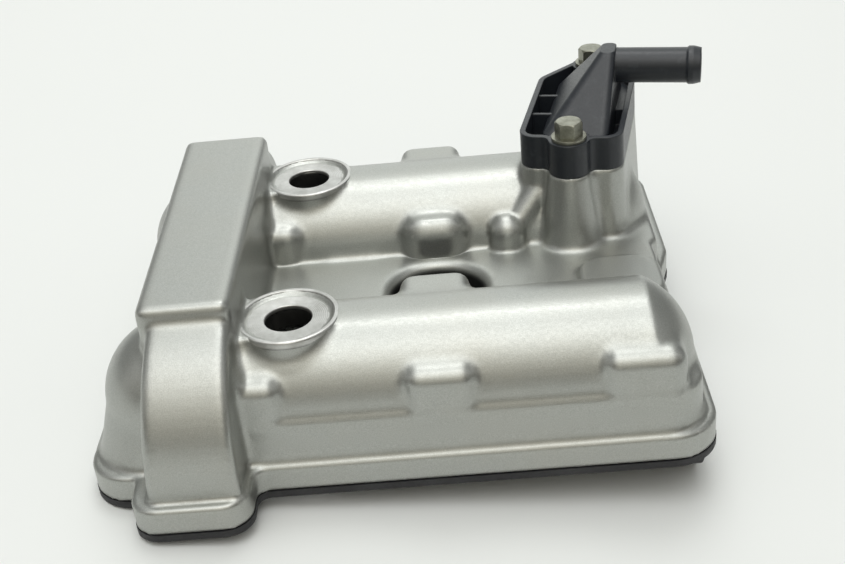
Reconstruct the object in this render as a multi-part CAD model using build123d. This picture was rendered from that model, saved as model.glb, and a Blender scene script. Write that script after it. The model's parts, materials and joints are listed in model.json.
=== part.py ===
from build123d import *
import os
from math import atan2, cos, degrees, radians, sin, sqrt, tan

# Cylinder head valve cover of a twin-cam motorcycle engine: one die-cast cover with its
# rubber gaskets, and a moulded secondary-air valve cap bolted to the column at one corner.
# Millimetres. The origin is on the spark plug axis at the sealing face. +X runs along the
# camshafts, away from the timing chain. +Z points out of the engine.

# --- camshaft covers (barrels) ---
CAM_Y = 45.9             # distance of each camshaft axis from the plug axis
CAM_Z = 22.0             # height of the barrel axis over the sealing face
BARREL_R = 22.3
DOME_R = 25.0            # spherical right ends; the left ends are true hemispheres
BARREL_X = (-99.9, 74.6)
WALL = 3.3               # casting wall
WEB_Z = 22.0             # top of the flat web between the barrels
WEB_T = 3.2

# --- sealing flange ---
FLANGE_LEFT = -104.9
FLANGE_RIGHT = 79.3      # front lobe
LOBE_RIGHT = 81.0        # back lobe
FLANGE_HALF = 70.8
FLANGE_H = 8.4
FLANGE_LIP_R = 1.0
LEDGE = 1.7              # step from the flange edge in to the side walls
LEFT_CORNER_R = 13.0
RIGHT_CORNER_R = 14.0
LOBE_CORNER_R = 12.0
BEND_R = 4.0             # concave corners of the flange
FOOT_BEND_R = 1.6
LEFT_BAY_X = -91.0       # the flange steps in between the ends of the barrels
LEFT_BAY_Y = (17.0, 32.0)
RIGHT_BAY_X = 75.2
RIGHT_BAY_FRONT = (-14.0, -5.0)
RIGHT_BAY_BACK = (17.0, 36.0)
BAY_R = 6.0
RIM_W = 5.9              # width of the sealing face

# --- side walls ---
WALL_RIGHT = 75.6
SKIRT_DRAFT = 1.5        # degrees
SKIRT_LEFT = -70.0       # the side walls run into the chain tunnel
FLARE = 0.6              # spread of the walls at their foot
FLARE_H = 1.8
END_LEFT = -103.2        # left ends of the barrels, where they meet the flange
END_HALF = 23.1
END_FOOT_R = 16.0
END_TOP_R = 21.8
NOTCH_X = 73.4           # right wall between the barrels
NOTCH_HALF = 21.0
NOTCH_R = 2.0

# --- timing chain tunnel ---
RIDGE_RIGHT = -56.8
RIDGE_LEFT = (-83.8, -85.8)   # at the front and at the back: the ridge widens a little
RIDGE_TOP = 56.0
RIDGE_FRONT = -57.0
RIDGE_BACK = 58.8
RIDGE_EDGE_R = 2.6
SPROCKET_R = 37.4        # outside of the sprocket humps
SPROCKET_Z = 15.0
HUMP_X = (-81.0, -57.5)
HUMP_FOOT = 4.0          # spread of the humps at their left foot
HUMP_EDGE_R = 2.4
TUNNEL_WALL = 4.0
FOOT_X = (-89.6, -55.6)
FOOT_REACH = 15.8        # tunnel feet, beyond the long sides of the flange
FOOT_R = 8.0

# --- cover bolt pads ---
PAD_X = -42.6
PAD_R = 15.2
PAD_TOP = 44.2
PAD_RIM_R = 0.8
PAD_FACE_R = 13.5
PAD_FACE_Z = 43.0
PAD_FOOT_Z = 26.0
BOLT_HOLE_R = 7.0
BOLT_BOSS_R = 11.5
BOLT_BOSS_Z = 34.5
NECK_HALF = 11.5         # half width of the neck from pad to ridge
PAD_DRAFT = 2.0

# --- bumps over the camshaft bearing caps ---
BUMP_REACH = 22.6        # cam axis to the outer face of a bump
BUMP_CORNER_R = 4.5
BUMP_TOP_R = 3.4
BUMP_WALL = 3.6
BUMP_HALF = 10.6
LOW_BUMP_TOP = 37.4
HIGH_BUMP_TOP = 42.0
END_BUMP_TOP = 40.8
END_BUMP_X = (45.6, 69.4)
LEFT_BUMP_X = (-62.0, -44.6)

# --- spark plug well ---
PLUG_R = 13.0
PLUG_RIM_R = 4.5
PLUG_TUBE_R = 17.2

# --- secondary air passage ---
AIR_X = 24.7             # vertical passage under the small domed boss
AIR_Y = 25.4
AIR_R = 2.4
AIR_BOSS_R = 6.5
AIR_BOSS_TOP = 33.5
AIR_POST_R = 7.0
PASSAGE_U = -6.75        # where the passage enters the reed chamber, in the column's frame
PASSAGE_V = -22.0
PASSAGE_Z = 44.3
RIB_R = 4.6              # sloping rib that carries the passage up to the column
RIB_FOOT_Z = 24.5
RIB_TOP = (39.4, 33.6, 41.5)

# --- secondary air column, in its own turned frame: u across, v along ---
COLUMN_X = 54.45
COLUMN_Y = 58.1
COLUMN_TURN = -13.2      # degrees about Z
COLUMN_TOP = 47.7
COLUMN_DRAFT = 2.5       # degrees
COLUMN_HALF_W = 17.3
COLUMN_FRONT = 32.4      # shoulder beside the front lug
COLUMN_BACK = 19.0       # where the back starts to taper
COLUMN_TAIL = 36.0
COLUMN_TAIL_HALF_W = 5.5
COLUMN_SHOULDER_R = 6.0
COLUMN_BACK_R = 9.0
COLUMN_TAIL_R = 2.0
LUG_R = 6.9
LUG_BLEND_R = 3.0
LUG_DRAFT = 8.0          # the front lug flares more than the column
BOLT_SPAN = 66.1         # between the two cap bolts
CORE_TOP = 34.0          # hollow under the column
LOBE_REACH = 29.6        # flange lobe under the column, beyond the long side
LOBE_LEFT = 24.0

# --- shelf at the right end of the web ---
SHELF_X = (46.0, 72.5)
SHELF_Y = (-19.5, 8.5)
SHELF_Z = 24.4
SHELF_R = 9.0
SHELF_TOP_R = 1.5

# --- perimeter gasket ---
GASKET_T = 2.2           # rubber below the sealing face
GASKET_INSET = -0.2      # the rubber stands out a little beyond the flange
GASKET_W = 5.8
GROOVE_INSET = 1.8
GROOVE_W = 2.4
GROOVE_DEPTH = 2.8
TONGUE_CLEARANCE = 0.15
MOON_R = 17.0            # half moons that plug the camshaft bores of the head
MOON_X = (68.0, 75.6)

# --- small gaskets ---
PLUG_GROOVE = (13.9, 16.2)
PLUG_SEAL = (13.2, 16.9)
AIR_COUNTERBORE_R = 5.2
AIR_COUNTERBORE_DEPTH = 2.4
AIR_SEAL_BORE_R = 2.9

# --- air valve cap ---
CAP_H = 11.5
CAP_WALL = 1.9
CAP_FLOOR = 2.6
CAP_RIB_T = 1.3
CAP_RIB_Z = 58.0
CAP_RIB_V = (-11.0, 5.0)
CAP_STEP_Z = 56.0        # raised floor in the pocket beside the nipple
CAP_STEP_V = (-2.0, 24.0)
DUCT_U = (-10.2, 12.2)
DUCT_V = (-25.6, 22.0)
DUCT_SHOULDER_Z = 56.5   # upright below, sloping above
DUCT_TOP_U = (7.2, 12.2)
DUCT_TOP_V = (-2.4, 7.0)
DUCT_TOP_Z = 77.0
DUCT_TOP_R = 2.2
DUCT_WALL = 2.0
DUCT_BASE_R = 3.2
DUCT_INNER_R = 0.9
NIPPLE_V = 3.0
NIPPLE_Z = 70.5
NIPPLE_R = 6.0
NIPPLE_BORE_R = 4.3
NIPPLE_TIP_U = 40.9
BARB_R = 6.5
BARB_TIP_R = 5.9
BARB_L = 4.8
BARB_STEP = 0.7
BARB_LAND = 1.6
SLEEVE_R = 4.2
SLEEVE_BORE_R = 3.2

# --- cap bolts and washers ---
BOLT_R = 3.0
BOLT_AF = 8.0
BOLT_HEAD_H = 5.2
BOLT_GRIP = 12.0         # thread in the column
BOLT_END_GAP = 1.0
THREAD_CLEARANCE = 0.05
WASHER_R = 5.8
WASHER_T = 1.1
WASHER_BORE_R = 3.15

# --- reed valve in the top of the column ---
SEAT_U = 11.5
SEAT_V = (-27.0, 21.0)
SEAT_R = 4.0
PORT_R = 2.0
SEAT_T = 1.6
SEAL_T = 0.8
SEAL_W = 2.4
SEAT_CLEARANCE = 0.1
CHAMBER_DEPTH = 1.6      # free height under the seal, over the barrel's crown
POCKET_V = (3.0, 18.6)   # deep part of the chamber
POCKET_Z = 38.0
POCKET_U = 8.0
POCKET_R = 2.0
PORT_V = (7.0, 16.5)
PORT_U = 5.0
PETAL_V = (0.0, 18.0)    # hinge line and tip of the petal
PETAL_U = 6.5
PETAL_T = 0.4
PETAL_TAIL = 1.0
PETAL_CORNER_R = 1.0
PETAL_GAP = 0.35
CLAMP_V = (-9.0, -2.6)
STOPPER_T = 0.6
STOPPER_GAP = 0.3
STOPPER_U = 5.5
STOPPER_V = 17.0
STOPPER_ANGLE = 8.0      # degrees
SCREW_R = 1.2
SCREW_HEAD_R = 2.0
SCREW_HEAD_H = 0.6
SCREW_SPAN = 6.0

CAP_TOP = COLUMN_TOP + CAP_H
SEAT_BOTTOM = COLUMN_TOP - SEAT_T
SEAL_BOTTOM = SEAT_BOTTOM - SEAL_T
CHAMBER_FLOOR = SEAL_BOTTOM - CHAMBER_DEPTH
PETAL_BOTTOM = SEAT_BOTTOM - PETAL_GAP - PETAL_T
STOPPER_TOP = PETAL_BOTTOM - STOPPER_GAP
BELOW = -1.0             # cutters start under the sealing face
HIGH = 120.0             # taller than the cover, for trimming tools

column_place = Location((COLUMN_X, COLUMN_Y, 0), (0, 0, COLUMN_TURN))


def outline(points, radii):
    """A flat face with straight sides and a radius at each corner."""
    return make_face(FilletPolyline(*points, radius=radii, close=True))


def rectangle(x, y, corner_r):
    corners = [(x[0], y[0]), (x[1], y[0]), (x[1], y[1]), (x[0], y[1])]
    return outline(corners, [corner_r] * len(corners))


def prism(face, bottom, top, draft=0.0):
    """The face raised from one height to another, its walls leaning in by the draft."""
    return extrude(Pos(0, 0, bottom) * face, amount=top - bottom, taper=draft)


def hanging(face, top, bottom, draft):
    """The face lowered from its top height, its walls spreading by the draft."""
    return extrude(Pos(0, 0, top) * face, amount=bottom - top, taper=-draft)


def block(x, y, z):
    """A box from its low and high limit on each axis."""
    size = [high - low for low, high in (x, y, z)]
    middle = [(high + low) / 2 for low, high in (x, y, z)]
    return Pos(*middle) * Box(*size)


def bar(start, end, radius):
    """A round bar between two points."""
    plane = Plane(origin=start, z_dir=Vector(*end) - Vector(*start))
    return extrude(plane * Circle(radius), amount=(Vector(*end) - Vector(*start)).length)


def disc(x, y, bottom, top, radius):
    return prism(Pos(x, y) * Circle(radius), bottom, top)


def rim_band(inset, width):
    """A band of even width that follows the flange's edge."""
    return flange_outline(inset) - flange_outline(inset + width)


def round_edges_at(solid, height, radius):
    """Fillet every edge that lies wholly at one height."""
    level = [e for e in solid.edges() if abs(e.center().Z - height) < 1e-3
             and e.bounding_box().size.Z < 1e-3]
    return fillet(level, radius)


# --- outlines ---
def bay(depth, low, high, inset):
    """Ends of a slope that steps in by the depth, moved by the inset of the outline."""
    lean = inset * tan(atan2(depth, abs(high - low)) / 2)
    shift = -lean if high > low else lean
    return low + shift, high + shift


def flange_outline(inset=0.0):
    """Sealing flange, or the same outline drawn inside it at an even distance."""
    left, right = FLANGE_LEFT + inset, FLANGE_RIGHT - inset
    lobe_right, back = LOBE_RIGHT - inset, FLANGE_HALF + LOBE_REACH - inset
    half, foot_half = FLANGE_HALF - inset, FLANGE_HALF + FOOT_REACH - inset
    foot_left, foot_right = FOOT_X[0] + inset, FOOT_X[1] - inset
    lobe_left = LOBE_LEFT + inset
    left_bay, right_bay = LEFT_BAY_X + inset, RIGHT_BAY_X - inset
    depth = FLANGE_RIGHT - RIGHT_BAY_X
    front_start, front_end = bay(depth, *RIGHT_BAY_FRONT, inset)
    depth = LOBE_RIGHT - RIGHT_BAY_X
    back_start, back_end = bay(depth, *reversed(RIGHT_BAY_BACK), inset)
    left_start, left_end = bay(LEFT_BAY_X - FLANGE_LEFT, *reversed(LEFT_BAY_Y), inset)
    corners = [
        (left, -half, LEFT_CORNER_R - inset),
        (foot_left, -half, FOOT_BEND_R + inset),
        (foot_left, -foot_half, FOOT_R - inset),
        (foot_right, -foot_half, FOOT_R - inset),
        (foot_right, -half, BEND_R + inset),
        (right, -half, RIGHT_CORNER_R - inset),
        (right, front_start, BAY_R - inset),
        (right_bay, front_end, BAY_R + inset),
        (right_bay, back_end, BAY_R + inset),
        (lobe_right, back_start, BAY_R - inset),
        (lobe_right, back, LOBE_CORNER_R - inset),
        (lobe_left, back, LOBE_CORNER_R - inset),
        (lobe_left, half, BEND_R + inset),
        (foot_right, half, BEND_R + inset),
        (foot_right, foot_half, FOOT_R - inset),
        (foot_left, foot_half, FOOT_R - inset),
        (foot_left, half, FOOT_BEND_R + inset),
        (left, half, LEFT_CORNER_R - inset),
        (left, left_start, BAY_R - inset),
        (left_bay, left_end, BAY_R + inset),
        (left_bay, -left_end, BAY_R + inset),
        (left, -left_start, BAY_R - inset),
    ]
    return outline([(x, y) for x, y, _ in corners], [r for _, _, r in corners])


def skirt_outline(inset=0.0):
    """Side walls over the flange, with the notch between the right barrel ends."""
    left, right = SKIRT_LEFT + inset, WALL_RIGHT - inset
    half = FLANGE_HALF - LEDGE - inset
    notch = NOTCH_X - inset
    bevel = right - notch
    corners = [
        (left, -half, NOTCH_R),
        (right, -half, RIGHT_CORNER_R - LEDGE - inset),
        (right, -NOTCH_HALF, NOTCH_R),
        (notch, bevel - NOTCH_HALF, NOTCH_R),
        (notch, NOTCH_HALF - bevel, NOTCH_R),
        (right, NOTCH_HALF, NOTCH_R),
        (right, half, RIGHT_CORNER_R - LEDGE - inset),
        (left, half, NOTCH_R),
    ]
    return outline([(x, y) for x, y, _ in corners], [r for _, _, r in corners])


def end_outline(side, height, spread=0.0):
    """Left end of a barrel: round at the barrel's axis, squarer towards the flange."""
    share = (WEB_Z - height) / (WEB_Z - FLANGE_H)
    left = BARREL_X[0] + share * (END_LEFT - BARREL_X[0]) - spread
    half = BARREL_R + share * (END_HALF - BARREL_R) + spread
    corner_r = END_TOP_R + share * (END_FOOT_R - END_TOP_R) + spread
    corners = [(left, -half), (SKIRT_LEFT, -half), (SKIRT_LEFT, half), (left, half)]
    flat = outline(corners, [corner_r, NOTCH_R, NOTCH_R, corner_r])
    return Pos(0, side * CAM_Y, height) * flat


def column_outline():
    """Top of the column and plan of its cap: a tapered body with a lug at each bolt."""
    points = [
        (-COLUMN_HALF_W, -COLUMN_FRONT),
        (COLUMN_HALF_W, -COLUMN_FRONT),
        (COLUMN_HALF_W, COLUMN_BACK),
        (COLUMN_TAIL_HALF_W, COLUMN_TAIL),
        (-COLUMN_TAIL_HALF_W, COLUMN_TAIL),
        (-COLUMN_HALF_W, COLUMN_BACK),
    ]
    front, back, tail = COLUMN_SHOULDER_R, COLUMN_BACK_R, COLUMN_TAIL_R
    body = outline(points, [front, front, back, tail, tail, back])
    for end in (-1, 1):
        body += Pos(0, end * BOLT_SPAN / 2) * Circle(LUG_R)
    body = body.face()
    lug_joins = [v for v in body.vertices() if abs(v.Y + COLUMN_FRONT) < 0.1
                 and abs(v.X) < LUG_R]
    return fillet(lug_joins, LUG_BLEND_R)


# --- outer form of the casting ---
def barrel_plan(radius, dome_r, ends):
    """Half of a barrel's section along its axis, from the axis outwards."""
    left, right = ends
    right_edge = right - dome_r + sqrt(dome_r ** 2 - radius ** 2)
    half = [
        Line((left, 0), (right, 0)),
        RadiusArc((right, 0), (right_edge, radius), -dome_r),
        Line((right_edge, radius), (left + radius, radius)),
        RadiusArc((left + radius, radius), (left, 0), -radius),
    ]
    return make_face(half)


def barrel(side, inset=0.0):
    """Half-round cover over one camshaft, with spherical ends."""
    ends = (BARREL_X[0] + inset, BARREL_X[1] - inset)
    plan = barrel_plan(BARREL_R - inset, DOME_R - inset, ends)
    dome = revolve(plan, Axis.X, 180)
    base = plan + mirror(plan, Plane.XZ)
    foot = extrude(base, amount=-WEB_T)
    return Pos(0, side * CAM_Y, CAM_Z) * (dome + foot)


def humps(inset=0.0):
    """Chain tunnel: a round hump over each camshaft sprocket, upright below its axis."""
    radius = SPROCKET_R - inset
    section = Pos(0, WEB_Z / 2) * Rectangle(2 * CAM_Y, WEB_Z)
    for side in (-1, 1):
        centre = side * CAM_Y
        wheel = Pos(centre, SPROCKET_Z) * Circle(radius)
        upper = wheel & (Pos(centre, SPROCKET_Z + HIGH / 2) * Rectangle(HIGH, HIGH))
        section += upper + Pos(centre, SPROCKET_Z / 2) * Rectangle(2 * radius, SPROCKET_Z)
    band = extrude(Plane.YZ * section, amount=HIGH, both=True)
    left, right = HUMP_X[0] + inset, HUMP_X[1] - inset
    crown = SPROCKET_Z + radius
    foot = left - HUMP_FOOT
    side_view = Polyline((left, crown), (foot, 0), (right, 0), (right, crown), close=True)
    return band & extrude(Plane.XZ * make_face(side_view), amount=HIGH, both=True)


def tunnel():
    body = humps()
    crown_edges = [e for e in body.edges() if e.geom_type != GeomType.LINE
                   and e.center().Z > SPROCKET_Z]
    body = fillet(crown_edges, HUMP_EDGE_R)
    plan = [(RIDGE_LEFT[0], RIDGE_FRONT), (RIDGE_RIGHT, RIDGE_FRONT),
            (RIDGE_RIGHT, RIDGE_BACK), (RIDGE_LEFT[1], RIDGE_BACK)]
    ridge = prism(outline(plan, [RIDGE_EDGE_R] * len(plan)), WEB_Z - WEB_T, RIDGE_TOP)
    return body + round_edges_at(ridge, RIDGE_TOP, RIDGE_EDGE_R)


def pad(side):
    """Round bolt pad with a flat neck to the ridge."""
    neck_l = PAD_X - RIDGE_RIGHT + WALL
    neck = Pos(-neck_l / 2, 0) * Rectangle(neck_l, 2 * NECK_HALF)
    raised = hanging(Circle(PAD_R) + neck, PAD_TOP, PAD_FOOT_Z, PAD_DRAFT)
    return Pos(PAD_X, side * CAM_Y, 0) * round_edges_at(raised, PAD_TOP, PAD_RIM_R)


def bump(x, side, facing, top):
    """Rounded box on the flank of a barrel, over a bearing cap bolt."""
    y = sorted((side * CAM_Y, side * CAM_Y + facing * BUMP_REACH))
    box = block(x, y, (CAM_Z - WEB_T, top))
    outer = side * CAM_Y + facing * BUMP_REACH
    upright = [e for e in box.edges().filter_by(Axis.Z) if abs(e.center().Y - outer) < 0.1]
    box = fillet(upright, BUMP_CORNER_R)
    lid = [e for e in box.edges() if abs(e.center().Z - top) < 0.1
           and abs(e.center().Y - side * CAM_Y) > 0.1]
    return fillet(lid, BUMP_TOP_R)


def bump_core(x, side, facing, top):
    reach = BARREL_R - WALL
    y = sorted((side * CAM_Y, side * CAM_Y + facing * reach))
    return block((x[0] + BUMP_WALL, x[1] - BUMP_WALL), y, (CAM_Z, top - BUMP_WALL))


MIDDLE = (-BUMP_HALF, BUMP_HALF)
BUMPS = [
    (MIDDLE, -1, -1, LOW_BUMP_TOP),
    (MIDDLE, 1, -1, LOW_BUMP_TOP),
    (MIDDLE, -1, 1, HIGH_BUMP_TOP),
    (MIDDLE, 1, 1, HIGH_BUMP_TOP),
    (LEFT_BUMP_X, -1, -1, LOW_BUMP_TOP),
    (LEFT_BUMP_X, 1, -1, LOW_BUMP_TOP),
    (END_BUMP_X, -1, -1, END_BUMP_TOP),
]


def column():
    """Hollow pillar with the flaring front lug; its flat top takes the reed valve."""
    shaft = hanging(column_outline(), COLUMN_TOP, FLANGE_H / 2, COLUMN_DRAFT)
    lug_plan = Pos(0, -BOLT_SPAN / 2) * Circle(LUG_R)
    lug = hanging(lug_plan, COLUMN_TOP, WEB_Z - WEB_T, LUG_DRAFT)
    return column_place * (shaft + lug)


def side_walls():
    """Long walls, right wall and the flaring left ends, each spread at its foot."""
    walls = prism(skirt_outline(), FLANGE_H / 2, WEB_Z, SKIRT_DRAFT)
    flare_angle = degrees(atan2(FLARE, FLARE_H))
    walls += prism(skirt_outline(-FLARE), FLANGE_H, FLANGE_H + FLARE_H, flare_angle)
    for side in (-1, 1):
        walls += loft([end_outline(side, FLANGE_H / 2), end_outline(side, WEB_Z)])
        foot = end_outline(side, FLANGE_H, FLARE)
        walls += loft([foot, end_outline(side, FLANGE_H + FLARE_H)])
    return walls


def casting():
    body = round_edges_at(prism(flange_outline(), 0, FLANGE_H), FLANGE_H, FLANGE_LIP_R)
    body += side_walls()
    for side in (-1, 1):
        body += barrel(side)
    body += tunnel()
    for side in (-1, 1):
        body += pad(side)
    for place in BUMPS:
        body += bump(*place)
    body += column()
    shelf = prism(rectangle(SHELF_X, SHELF_Y, SHELF_R), WEB_Z - WEB_T, SHELF_Z)
    body += round_edges_at(shelf, SHELF_Z, SHELF_TOP_R)
    dome_base = AIR_BOSS_TOP - AIR_BOSS_R
    body += disc(AIR_X, AIR_Y, WEB_Z - WEB_T, dome_base, AIR_BOSS_R)
    body += Pos(AIR_X, AIR_Y, dome_base) * Sphere(AIR_BOSS_R)
    rib_foot = (AIR_X, AIR_Y, RIB_FOOT_Z)
    body += bar(rib_foot, RIB_TOP, RIB_R)
    body += Pos(*RIB_TOP) * Sphere(RIB_R)

    # hollow inside
    hollow = prism(skirt_outline(RIM_W - LEDGE), BELOW, WEB_Z - WEB_T)
    for side in (-1, 1):
        hollow += barrel(side, WALL)
        end = Pos(0, 0, BELOW - WEB_Z) * end_outline(side, WEB_Z, -WALL)
        hollow += extrude(end, amount=WEB_Z - BELOW)
    for place in BUMPS:
        hollow += bump_core(*place)
    inner_hump = humps(TUNNEL_WALL)
    hollow += inner_hump
    hollow += block((HUMP_X[0] + TUNNEL_WALL, HUMP_X[1] - TUNNEL_WALL),
                    (RIDGE_FRONT + TUNNEL_WALL, RIDGE_BACK - TUNNEL_WALL),
                    (WEB_Z, RIDGE_TOP - TUNNEL_WALL))
    core_plan = offset(column_outline(), -TUNNEL_WALL)
    column_core = column_place * prism(core_plan, BELOW, CORE_TOP)
    hollow += column_core
    body -= hollow

    # posts and tubes that stand inside the hollow
    body += disc(0, 0, 0, WEB_Z - WEB_T / 2, PLUG_TUBE_R)
    body += disc(AIR_X, AIR_Y, 0, WEB_Z, AIR_POST_R)
    body += bar(rib_foot, RIB_TOP, RIB_R)
    for side in (-1, 1):
        body += disc(PAD_X, side * CAM_Y, BOLT_BOSS_Z, PAD_FACE_Z, BOLT_BOSS_R)

    # holes and machined faces
    body -= disc(0, 0, BELOW, HIGH, PLUG_R)
    throat_r, throat_z = PLUG_R + PLUG_RIM_R, WEB_Z - PLUG_RIM_R
    throat = disc(0, 0, throat_z, WEB_Z, throat_r)
    body -= throat - Pos(0, 0, throat_z) * Torus(throat_r, PLUG_RIM_R)
    for side in (-1, 1):
        y = side * CAM_Y
        body -= disc(PAD_X, y, BELOW, HIGH, BOLT_HOLE_R)
        body -= disc(PAD_X, y, PAD_FACE_Z, HIGH, PAD_FACE_R)
    body -= prism(rim_band(GROOVE_INSET, GROOVE_W), BELOW, GROOVE_DEPTH)
    body -= prism(Circle(PLUG_GROOVE[1]) - Circle(PLUG_GROOVE[0]), BELOW, GROOVE_DEPTH)
    body -= air_passage()
    body -= reed_recess()
    return body


def column_point(u, v, z):
    """A point of the column's own frame in the cover's frame."""
    turn = radians(COLUMN_TURN)
    x = COLUMN_X + u * cos(turn) - v * sin(turn)
    y = COLUMN_Y + u * sin(turn) + v * cos(turn)
    return (x, y, z)


def air_passage():
    """Drilled way from the sealing face up the post and the rib to the reed chamber."""
    foot = (AIR_X, AIR_Y, RIB_FOOT_Z)
    chamber = column_point(PASSAGE_U, PASSAGE_V, PASSAGE_Z)
    way = disc(AIR_X, AIR_Y, BELOW, RIB_FOOT_Z, AIR_R)
    way += disc(AIR_X, AIR_Y, BELOW, AIR_COUNTERBORE_DEPTH, AIR_COUNTERBORE_R)
    way += Pos(*foot) * Sphere(AIR_R)
    way += bar(foot, RIB_TOP, AIR_R)
    way += Pos(*RIB_TOP) * Sphere(AIR_R)
    way += bar(RIB_TOP, chamber, AIR_R)
    return way


def reed_recess():
    seat = rectangle((-SEAT_U, SEAT_U), SEAT_V, SEAT_R)
    recess = prism(offset(seat, SEAT_CLEARANCE), SEAL_BOTTOM, HIGH)
    recess += prism(offset(seat, -SEAL_W), CHAMBER_FLOOR, COLUMN_TOP)
    recess += prism(rectangle((-POCKET_U, POCKET_U), POCKET_V, POCKET_R), POCKET_Z, COLUMN_TOP)
    hole_r = BOLT_R + THREAD_CLEARANCE
    for end in (-1, 1):
        recess += disc(0, end * BOLT_SPAN / 2, COLUMN_TOP - BOLT_GRIP, HIGH, hole_r)
    return column_place * recess


# --- rubber gaskets ---
def rim_gasket():
    """Perimeter gasket: flat rubber, a tongue for the groove, half moons at the right end."""
    ring = prism(rim_band(GASKET_INSET, GASKET_W), -GASKET_T, 0)
    tongue = rim_band(GROOVE_INSET + TONGUE_CLEARANCE, GROOVE_W - 2 * TONGUE_CLEARANCE)
    ring += prism(tongue, -GASKET_T / 2, GROOVE_DEPTH - TONGUE_CLEARANCE)
    for side in (-1, 1):
        wheel = Circle(MOON_R) & (Pos(0, -MOON_R / 2) * Rectangle(2 * MOON_R, MOON_R))
        moon = extrude(Plane.YZ * wheel, amount=MOON_X[1] - MOON_X[0])
        ring += Pos(MOON_X[0], side * CAM_Y, 0) * moon
    return ring


def plug_gasket():
    band = Circle(PLUG_SEAL[1]) - Circle(PLUG_SEAL[0])
    tongue_r = [PLUG_GROOVE[0] + TONGUE_CLEARANCE, PLUG_GROOVE[1] - TONGUE_CLEARANCE]
    tongue = Circle(tongue_r[1]) - Circle(tongue_r[0])
    return prism(band, -GASKET_T, 0) + prism(tongue, 0, GROOVE_DEPTH - TONGUE_CLEARANCE)


def air_gasket():
    band = Circle(AIR_COUNTERBORE_R - TONGUE_CLEARANCE) - Circle(AIR_SEAL_BORE_R)
    return Pos(AIR_X, AIR_Y, 0) * prism(band, -GASKET_T, AIR_COUNTERBORE_DEPTH)


# --- air valve cap ---
def duct(wall, base_r, top_r):
    """Upright box that narrows above the rim to a blunt peak over the right side."""
    low = rectangle((DUCT_U[0] + wall, DUCT_U[1] - wall),
                    (DUCT_V[0] + wall, DUCT_V[1] - wall), base_r)
    high = rectangle((DUCT_TOP_U[0] + wall / 2, DUCT_TOP_U[1] - wall),
                     (DUCT_TOP_V[0] + wall / 2, DUCT_TOP_V[1] - wall / 2), top_r)
    peak = loft([Pos(0, 0, DUCT_SHOULDER_Z) * low, Pos(0, 0, DUCT_TOP_Z - wall) * high])
    return peak + prism(low, COLUMN_TOP, DUCT_SHOULDER_Z)


def nipple():
    """Hose stub along u with a swelling at its end."""
    profile = Polyline(
        (DUCT_TOP_U[1] - DUCT_WALL, 0),
        (DUCT_TOP_U[1] - DUCT_WALL, NIPPLE_R),
        (NIPPLE_TIP_U - BARB_L, NIPPLE_R),
        (NIPPLE_TIP_U - BARB_L + BARB_STEP, BARB_R),
        (NIPPLE_TIP_U - BARB_L + BARB_STEP + BARB_LAND, BARB_R),
        (NIPPLE_TIP_U, BARB_TIP_R),
        (NIPPLE_TIP_U, 0),
        close=True,
    )
    return Pos(0, NIPPLE_V, NIPPLE_Z) * revolve(Plane.XZ * make_face(profile), Axis.X, 360)


def reed_cover():
    plan = column_outline()
    body = prism(plan, COLUMN_TOP, CAP_TOP)
    body -= prism(offset(plan, -CAP_WALL), COLUMN_TOP + CAP_FLOOR, HIGH)
    for end in (-1, 1):
        body += disc(0, end * BOLT_SPAN / 2, COLUMN_TOP, CAP_TOP, LUG_R)
    inside = prism(offset(plan, -CAP_WALL / 2), COLUMN_TOP, CAP_TOP)
    for v in CAP_RIB_V:
        body += inside & block((-COLUMN_HALF_W, DUCT_U[0] + DUCT_WALL), (v, v + CAP_RIB_T),
                               (COLUMN_TOP, CAP_RIB_Z))
    body += inside & block((DUCT_U[1] - DUCT_WALL, COLUMN_HALF_W), CAP_STEP_V,
                           (COLUMN_TOP, CAP_STEP_Z))
    body += duct(0, DUCT_BASE_R, DUCT_TOP_R)
    body += nipple()
    body -= duct(DUCT_WALL, DUCT_INNER_R, DUCT_INNER_R)
    body -= bar((DUCT_TOP_U[0] + DUCT_WALL, NIPPLE_V, NIPPLE_Z),
                (NIPPLE_TIP_U, NIPPLE_V, NIPPLE_Z), NIPPLE_BORE_R)
    for end in (-1, 1):
        body -= disc(0, end * BOLT_SPAN / 2, COLUMN_TOP, HIGH, SLEEVE_R)
    return column_place * body


def at_cap_bolts(item):
    """The same small part at both cap bolts."""
    return Compound([column_place * Pos(0, end * BOLT_SPAN / 2) * item for end in (-1, 1)])


def cap_bolt():
    seat = CAP_TOP + WASHER_T
    head = prism(RegularPolygon(BOLT_AF / 2, 6, major_radius=False), seat, seat + BOLT_HEAD_H)
    upright = (Align.CENTER, Align.CENTER, Align.MIN)
    crown = Cone(BOLT_AF / 2 + BOLT_HEAD_H, BOLT_AF / 2, BOLT_HEAD_H, align=upright)
    head &= Pos(0, 0, seat) * crown
    return head + disc(0, 0, COLUMN_TOP - BOLT_GRIP + BOLT_END_GAP, seat, BOLT_R)


def cap_washer():
    return prism(Circle(WASHER_R) - Circle(WASHER_BORE_R), CAP_TOP, CAP_TOP + WASHER_T)


def cap_sleeve():
    return prism(Circle(SLEEVE_R) - Circle(SLEEVE_BORE_R), COLUMN_TOP, CAP_TOP)


# --- reed valve ---
def reed_seat():
    plate = prism(rectangle((-SEAT_U, SEAT_U), SEAT_V, SEAT_R), SEAT_BOTTOM, COLUMN_TOP)
    plate -= prism(rectangle((-PORT_U, PORT_U), PORT_V, PORT_R), SEAT_BOTTOM, COLUMN_TOP)
    for place in screw_places():
        plate -= place * disc(0, 0, SEAT_BOTTOM, COLUMN_TOP, SCREW_R + THREAD_CLEARANCE)
    return column_place * plate


def reed_seal():
    plan = rectangle((-SEAT_U, SEAT_U), SEAT_V, SEAT_R)
    return column_place * prism(plan - offset(plan, -SEAL_W), SEAL_BOTTOM, SEAT_BOTTOM)


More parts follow.
